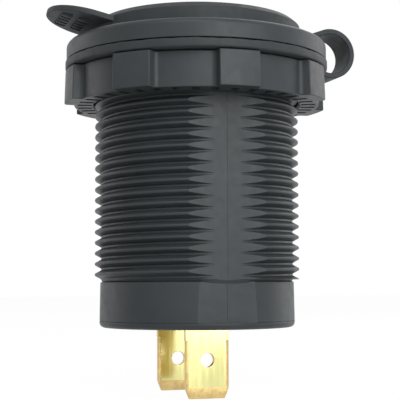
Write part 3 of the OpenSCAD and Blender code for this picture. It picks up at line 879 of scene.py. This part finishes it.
class SOCKET_OT_seal(bpy.types.Operator):
    """Rubber seal ring under the flange"""

    bl_idname = "power_socket.seal"
    bl_label = "Seal Ring"

    def execute(self, context):
        """Model the seal ring."""
        sizes = context.scene.power_socket.cap
        edge = sizes.seal_edge
        inner = context.scene.power_socket.barrel.crest_radius
        outer, top = SEAL_HIGH.x, SEAL_HIGH.z
        lip = top - sizes.seam_height
        seal = turned("seal", [
            (inner, 0, 0),
            (outer, 0, edge),
            (outer, lip, edge / 3),
            (outer - sizes.seam_depth, lip, 0),
            (outer - sizes.seam_depth - edge / 3, top, 0),
            (inner, top, 0),
        ], sides=240)
        for vertex in seal.data.vertices:
            radius = vertex.co.xy.length
            if vertex.co.z > top / 2 and radius > outer - sizes.seam_depth + edge / 10:
                turn = math.atan2(vertex.co.y, vertex.co.x)
                waves = math.sin(9 * turn) + math.sin(23 * turn + 1) + math.sin(57 * turn + 2)
                vertex.co.z += sizes.seam_wander * waves / 3
        hand_over(seal, "socket", "cap_rubber", "matt_rubber", "seal_ring")
        return {"FINISHED"}


# Contacts and blades

class SOCKET_OT_sleeve(bpy.types.Operator):
    """Contact sleeve, a drawn can with a lip, a stepped foot and two spring tongues"""

    bl_idname = "power_socket.sleeve"
    bl_label = "Sleeve"

    def execute(self, context):
        """Model the contact sleeve."""
        sizes = context.scene.power_socket.inside
        sheet, inner = sizes.sheet, sizes.sleeve
        outer = inner + sheet
        lip, top, foot = SLEEVE_HIGH.x, SLEEVE_HIGH.z, SLEEVE_LOW.z
        hole = sizes.bush_hole
        fine, soft = 0.1 * MM, 0.15 * MM
        sleeve = turned("sleeve", [
            (hole, foot, 0),
            (outer - sizes.step, foot, sheet),
            (outer - sizes.step, sizes.step_z - sheet, 0),
            (outer, sizes.step_z - sheet, fine),
            (outer, top - sheet, 0),
            (lip, top - sheet, soft),
            (lip, top, soft),
            (inner, top, sheet * 0.8),
            (inner, sizes.step_z, fine),
            (inner - sizes.step, sizes.step_z, 0),
            (inner - sizes.step, foot + sheet, fine),
            (hole, foot + sheet, 0),
        ])
        half = sizes.tongue_width / 2
        cut, cut_top = sizes.tongue_cut, sizes.tongue_top
        cut_foot = cut_top - sizes.tongue_length
        for side in (-1, 1):
            near, far = sorted((side * (inner - PAST), side * (outer + PAST)))
            for low_y, high_y, low_z in (
                    (-half - cut, half + cut, cut_top - cut),
                    (-half - cut, -half, cut_foot),
                    (half, half + cut, cut_foot)):
                combine(sleeve, block("cut", (near, low_y, low_z), (far, high_y, cut_top)))
        drill(sleeve, sizes.rivet + sizes.fit_gap, SIDE_RIVET_Y, foot + PAST, foot - PAST)
        hand_over(sleeve, "socket", "sleeve_metal", "drawn_plating", "contact_sleeve")
        return {"FINISHED"}


class SOCKET_OT_contacts(bpy.types.Operator):
    """Insulating bush, domed centre contact and the two rivets"""

    bl_idname = "power_socket.contacts"
    bl_label = "Centre Contact"

    def execute(self, context):
        """Model the bush, the contact and the rivets."""
        sizes = context.scene.power_socket.inside
        hole = sizes.rivet + sizes.fit_gap
        floor = SLEEVE_LOW.z
        spigot = sizes.bush_hole - sizes.fit_gap
        fine, soft = 0.1 * MM, 0.15 * MM
        bush = turned("bush", [
            (hole, floor, 0),
            (spigot, floor, fine),
            (spigot, floor + sizes.sheet, 0),
            (BUSH_HIGH.x, floor + sizes.sheet, fine),
            (BUSH_HIGH.x, BUSH_HIGH.z, soft),
            (hole, BUSH_HIGH.z, 0),
        ], sides=96)
        hand_over(bush, "socket", "bush_plastic", "bush_plastic", "insulator_bush")
        sheet = sizes.contact_sheet
        rim, low, high = CONTACT_HIGH.x, CONTACT_LOW.z, CONTACT_HIGH.z
        crown = sizes.rivet_head + sizes.fit_gap
        contact = turned("contact", [
            (hole, high - sheet, 0),
            (crown - sheet, high - sheet, 0.3 * MM),
            (rim - sheet, low, fine),
            (rim, low, fine),
            (rim, low + sheet, soft),
            (crown, high, 0.5 * MM),
            (hole, high, 0),
        ], sides=96)
        hand_over(contact, "socket", "contact_brass", "rolled_brass", "centre_contact")
        for name, node, low, high, y in (
                ("rivet_centre", "centre_rivet", RIVET_LOW, RIVET_HIGH, 0),
                ("rivet_back", "back_rivet", SIDE_RIVET_LOW, SIDE_RIVET_HIGH, SIDE_RIVET_Y)):
            head, rise = sizes.rivet_head, sizes.rivet_head_height
            rivet = turned(name, [
                (0, low.z, 0),
                (head, low.z, rise * 0.8),
                (head, low.z + rise, 0),
                (sizes.rivet, low.z + rise, 0),
                (sizes.rivet, high.z - rise, 0),
                (head, high.z - rise, 0),
                (head, high.z, rise * 0.8),
                (0, high.z, 0),
            ], sides=48, steps=6)
            rivet.data.transform(Matrix.Translation((0, y, 0)))
            hand_over(rivet, "socket", "contact_brass", "rolled_brass", node)
        return {"FINISHED"}


class SOCKET_OT_blades(bpy.types.Operator):
    """The two bevelled blade terminals with their feet"""

    bl_idname = "power_socket.blades"
    bl_label = "Blades"

    def execute(self, context):
        """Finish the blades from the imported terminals."""
        sizes = context.scene.power_socket.inside
        for name, node in (("blade_front", "front_terminal"), ("blade_back", "back_terminal")):
            blade = copy_of_node(name, node)
            soften(blade, sizes.blade_edge, limit=25)
            hand_over(blade, "socket", "blade_brass", "rolled_brass", node)
            # The browner finish on the edges and on the front blade's inner side is painted shade.
            self.paint_edges_dull_and_shaded(blade, shade_inner_side=node == "front_terminal")
        return {"FINISHED"}

    def paint_edges_dull_and_shaded(self, blade, shade_inner_side):
        """Give the coined edges, and the side that faces inwards, their duller finish, whose browner
        colour is painted shade.
        """
        blade.data.materials.append(finish("dull_brass"))
        for face in blade.data.polygons:
            rolled = abs(face.normal.y) > 0.998 or abs(face.normal.z) > 0.998
            # The front blade's inner side, between the blades, is painted browner as shade.
            painted_shade = shade_inner_side and face.normal.y > 0.9
            face.material_index = 0 if rolled and not painted_shade else 1


# Stage

class SOCKET_OT_stage(bpy.types.Operator):
    """Camera, lamps, pale floor and white surroundings"""

    bl_idname = "power_socket.stage"
    bl_label = "Stage"

    def execute(self, context):
        """Set up the stage."""
        scene = context.scene
        scene.view_settings.view_transform = "Standard"
        self.camera(scene)
        self.surroundings(scene)
        self.floor(scene)
        self.lamps(scene)
        return {"FINISHED"}

    def camera(self, scene):
        """A camera low beside the tail, turned a little to the left and tilted up."""
        distance, height = 161 * MM, -30.4 * MM
        turn, aside, up, roll = (math.radians(-17.82), math.radians(-0.165),
                                 math.radians(4.303), math.radians(0.212))
        data = bpy.data.cameras.new("camera")
        data.lens = 101.62
        data.sensor_width = 36
        data.clip_start = 0.01
        lens = bpy.data.objects.new("camera", data)
        scene.collection.objects.link(lens)
        place = Matrix.Translation(
            (distance * math.sin(turn), -distance * math.cos(turn), height))
        look = (Matrix.Rotation(turn + aside, 4, "Z") @ Matrix.Rotation(math.pi / 2 + up, 4, "X")
                @ Matrix.Rotation(-roll, 4, "Z"))
        lens.matrix_world = place @ look
        scene.camera = lens

    def surroundings(self, scene):
        """White for the camera and for reflections, softer for the light it gives."""
        world = bpy.data.worlds.new("surroundings")
        world.use_nodes = True
        tree = world.node_tree
        tree.nodes.clear()
        white, fill = (
            add_node(tree, "ShaderNodeBackground", {"Color": (tone, tone, tone, 1)})
            for tone in (1, 0.02))
        add_node(tree, "ShaderNodeOutputWorld", {"Surface": self.seen_or_lit(tree, white, fill)})
        scene.world = world

    def floor(self, scene):
        """A pale floor just under the blades, white to the camera, that keeps a soft shadow."""
        bpy.ops.object.select_all(action="DESELECT")
        bpy.ops.mesh.primitive_circle_add(
            vertices=64, radius=1.5, fill_type="NGON", location=(0, 0, FRONT_LOW.z - 0.3 * MM))
        floor = bpy.context.object
        floor.name = "floor"
        bpy.ops.object.transform_apply(location=True)
        material = bpy.data.materials.new("pale_floor")
        material.use_nodes = True
        tree = material.node_tree
        tree.nodes.clear()
        tone = scene.power_socket.finish.backdrop
        dull = add_node(tree, "ShaderNodeBsdfDiffuse", {"Color": (*tone, 1)})
        glow = add_node(tree, "ShaderNodeEmission", {"Color": (1, 1, 1, 1), "Strength": 1.04})
        surface = self.seen_or_lit(tree, glow, dull, 0.94)
        add_node(tree, "ShaderNodeOutputMaterial", {"Surface": surface})
        floor.data.materials.append(material)

    def seen_or_lit(self, tree, seen, lit, share=1.0):
        """One shader's share for camera, glossy and transmission rays, another for the light."""
        rays = add_node(tree, "ShaderNodeLightPath").outputs
        chosen = rays["Is Camera Ray"]
        for kind in ("Is Glossy Ray", "Is Transmission Ray"):
            chosen = add_node(
                tree, "ShaderNodeMath", {0: chosen, 1: rays[kind]}, operation="MAXIMUM").outputs[0]
        part = add_node(tree, "ShaderNodeMath", {0: chosen, 1: share}, operation="MULTIPLY")
        return add_node(tree, "ShaderNodeMixShader", {
            0: part.outputs[0], 1: lit.outputs[0], 2: seen.outputs[0]}).outputs[0]

    def lamps(self, scene):
        """Soft square lamps: two in front to the right, one at the left and two behind."""
        middle, distance = Vector((0, 0, -15 * MM)), 0.45
        for name, turn, rise, width, watts in (
                ("key", 11, 9, 0.34, 1.80),
                ("upper", -22, 45, 0.22, 0.80),
                ("left", -128, 8, 0.22, 0.20),
                ("right", 98, 8, 0.30, 0.50),
                ("back", 132, 45, 0.22, 0.25)):
            data = bpy.data.lights.new(name, "AREA")
            data.shape = "SQUARE"
            data.size = width
            data.energy = watts
            lamp = bpy.data.objects.new(name, data)
            scene.collection.objects.link(lamp)
            across, up = math.radians(turn), math.radians(rise)
            away = Vector((math.sin(across) * math.cos(up), -math.cos(across) * math.cos(up),
                           math.sin(up)))
            aim = (-away).to_track_quat("-Z", "Y").to_matrix().to_4x4()
            lamp.matrix_world = Matrix.Translation(middle + away * distance) @ aim


class SOCKET_PT_panel(bpy.types.Panel):
    """Panel that lists the pieces in the order in which they are modelled"""

    bl_idname = "SOCKET_PT_panel"
    bl_label = "Power Socket"
    bl_space_type = "VIEW_3D"
    bl_region_type = "UI"
    bl_category = "Power Socket"

    def draw(self, context):
        """List the operators and the settings."""
        layout = self.layout
        for piece in PIECES:
            layout.operator(piece.bl_idname)
        settings = context.scene.power_socket
        for group in (settings.barrel, settings.nut, settings.cap, settings.inside,
                      settings.finish):
            box = layout.box()
            for name in group.__annotations__:
                box.prop(group, name)


PIECES = (
    SOCKET_OT_stage, SOCKET_OT_barrel, SOCKET_OT_cover, SOCKET_OT_nut, SOCKET_OT_seal,
    SOCKET_OT_cap, SOCKET_OT_strap, SOCKET_OT_sleeve, SOCKET_OT_contacts, SOCKET_OT_blades,
)
GROUPS = (BarrelSizes, NutSizes, CapSizes, InsideSizes, Finishes, SocketSettings)


def register():
    """Register the classes and the settings."""
    for item in (*GROUPS, *PIECES, SOCKET_PT_panel):
        bpy.utils.register_class(item)
    bpy.types.Scene.power_socket = bpy.props.PointerProperty(type=SocketSettings)


def unregister():
    """Remove the settings and the classes."""
    del bpy.types.Scene.power_socket
    for item in reversed((*GROUPS, *PIECES, SOCKET_PT_panel)):
        bpy.utils.unregister_class(item)


def main():
    """Build the stage and every piece."""
    register()
    for piece in PIECES:
        family, name = piece.bl_idname.split(".")
        getattr(getattr(bpy.ops, family), name)()
    bpy.ops.object.select_all(action="DESELECT")


if __name__ == "__main__":
    main()
